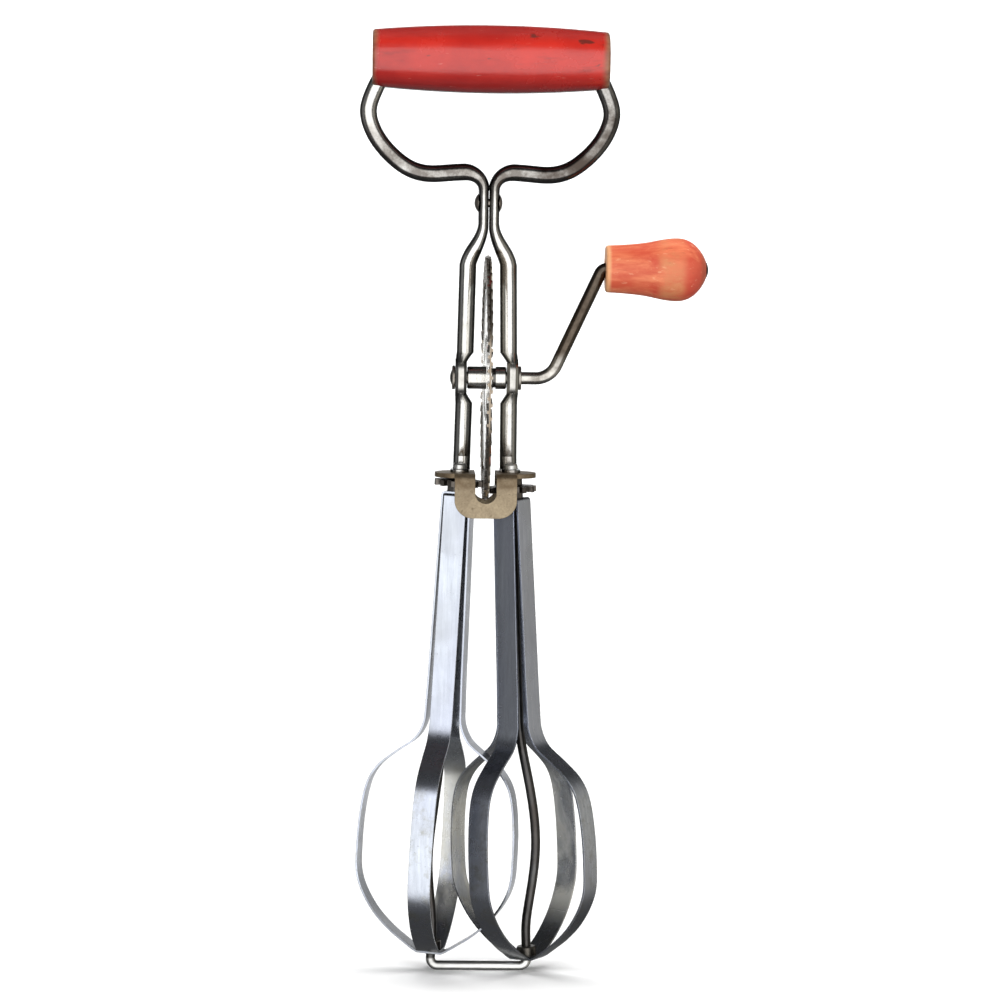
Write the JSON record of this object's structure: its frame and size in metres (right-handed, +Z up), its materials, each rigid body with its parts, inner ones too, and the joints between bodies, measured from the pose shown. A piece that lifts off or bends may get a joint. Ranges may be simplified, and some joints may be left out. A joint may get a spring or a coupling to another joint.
{
  "type": "rotary egg beater",
  "caption": "Hand-cranked rotary egg beater: red grip on a bent rod frame, toothed drive wheel turning interleaved strip beaters on a U-shaped wire.",
  "frame": {"origin": "underside of the spindle wire's bottom bar, on the centre plane: the point that rests on the bowl", "axes": "+Z up towards the grip, +X towards the crank side, +Y to the back"},
  "size_m": [0.1082, 0.076, 0.294],
  "materials": {
    "red_paint": "glossy paint over turned wood, worn at the ends",
    "worn_wood": "worn red paint over pale wood",
    "plated_rod": "bright nickel plate, tarnished",
    "plated_rivet": "dull nickel plate",
    "tan_plate": "tarnished stamped steel",
    "dark_wire": "dark oxidised wire",
    "crank_steel": "bronze-grey tarnish",
    "wheel_steel": "bright sheet with brown teeth",
    "hub_steel": "turned steel",
    "washer_steel": "dull steel",
    "pinion_steel": "dark oily steel",
    "thrust_steel": "dark steel",
    "collar_steel": "dark steel",
    "blade_steel": "brushed stainless strip",
    "bush_steel": "dark steel"
  },
  "bodies": {
    "frame": {"grip": "red_paint", "frame_rod": "plated_rod", "neck_rivet": "plated_rivet", "bearing_plate": "tan_plate", "beater_wire": "dark_wire"},
    "drive": {"crank_rod": "crank_steel", "drive_wheel": "wheel_steel", "wheel_hub": "hub_steel", "left_axle_washer": "washer_steel", "right_axle_washer": "washer_steel"},
    "knob": {"crank_knob": "worn_wood"},
    "left_beater": {"left_pinion": "pinion_steel", "left_thrust_washer": "thrust_steel", "left_blade_collar": "collar_steel", "left_outer_blade": "blade_steel", "left_inner_blade": "blade_steel", "left_bottom_bush": "bush_steel"},
    "right_beater": {"right_pinion": "pinion_steel", "right_thrust_washer": "thrust_steel", "right_blade_collar": "collar_steel", "right_outer_blade": "blade_steel", "right_inner_blade": "blade_steel", "right_bottom_bush": "bush_steel"}
  },
  "joints": [
    {"name": "crank_spin", "type": "hinge", "parent": "frame", "child": "drive", "pos_m": [0, 0, 0.1856], "axis": [1, 0, 0], "continuous": true},
    {"name": "knob_spin", "type": "hinge", "parent": "drive", "child": "knob", "pos_m": [0.0518, 0, 0.2197], "axis": [1, 0, 0], "continuous": true},
    {"name": "left_beater_spin", "type": "hinge", "parent": "frame", "child": "left_beater", "pos_m": [-0.0081, 0, 0.1534], "axis": [0.0464, 0, 0.9989], "continuous": true},
    {"name": "right_beater_spin", "type": "hinge", "parent": "frame", "child": "right_beater", "pos_m": [0.0081, 0, 0.1534], "axis": [-0.0464, 0, 0.9989], "continuous": true}
  ],
  "couplings": [
    {"joint": "left_beater_spin", "follows": "crank_spin", "ratio": 4.6667},
    {"joint": "right_beater_spin", "follows": "crank_spin", "ratio": -4.6667}
  ]
}
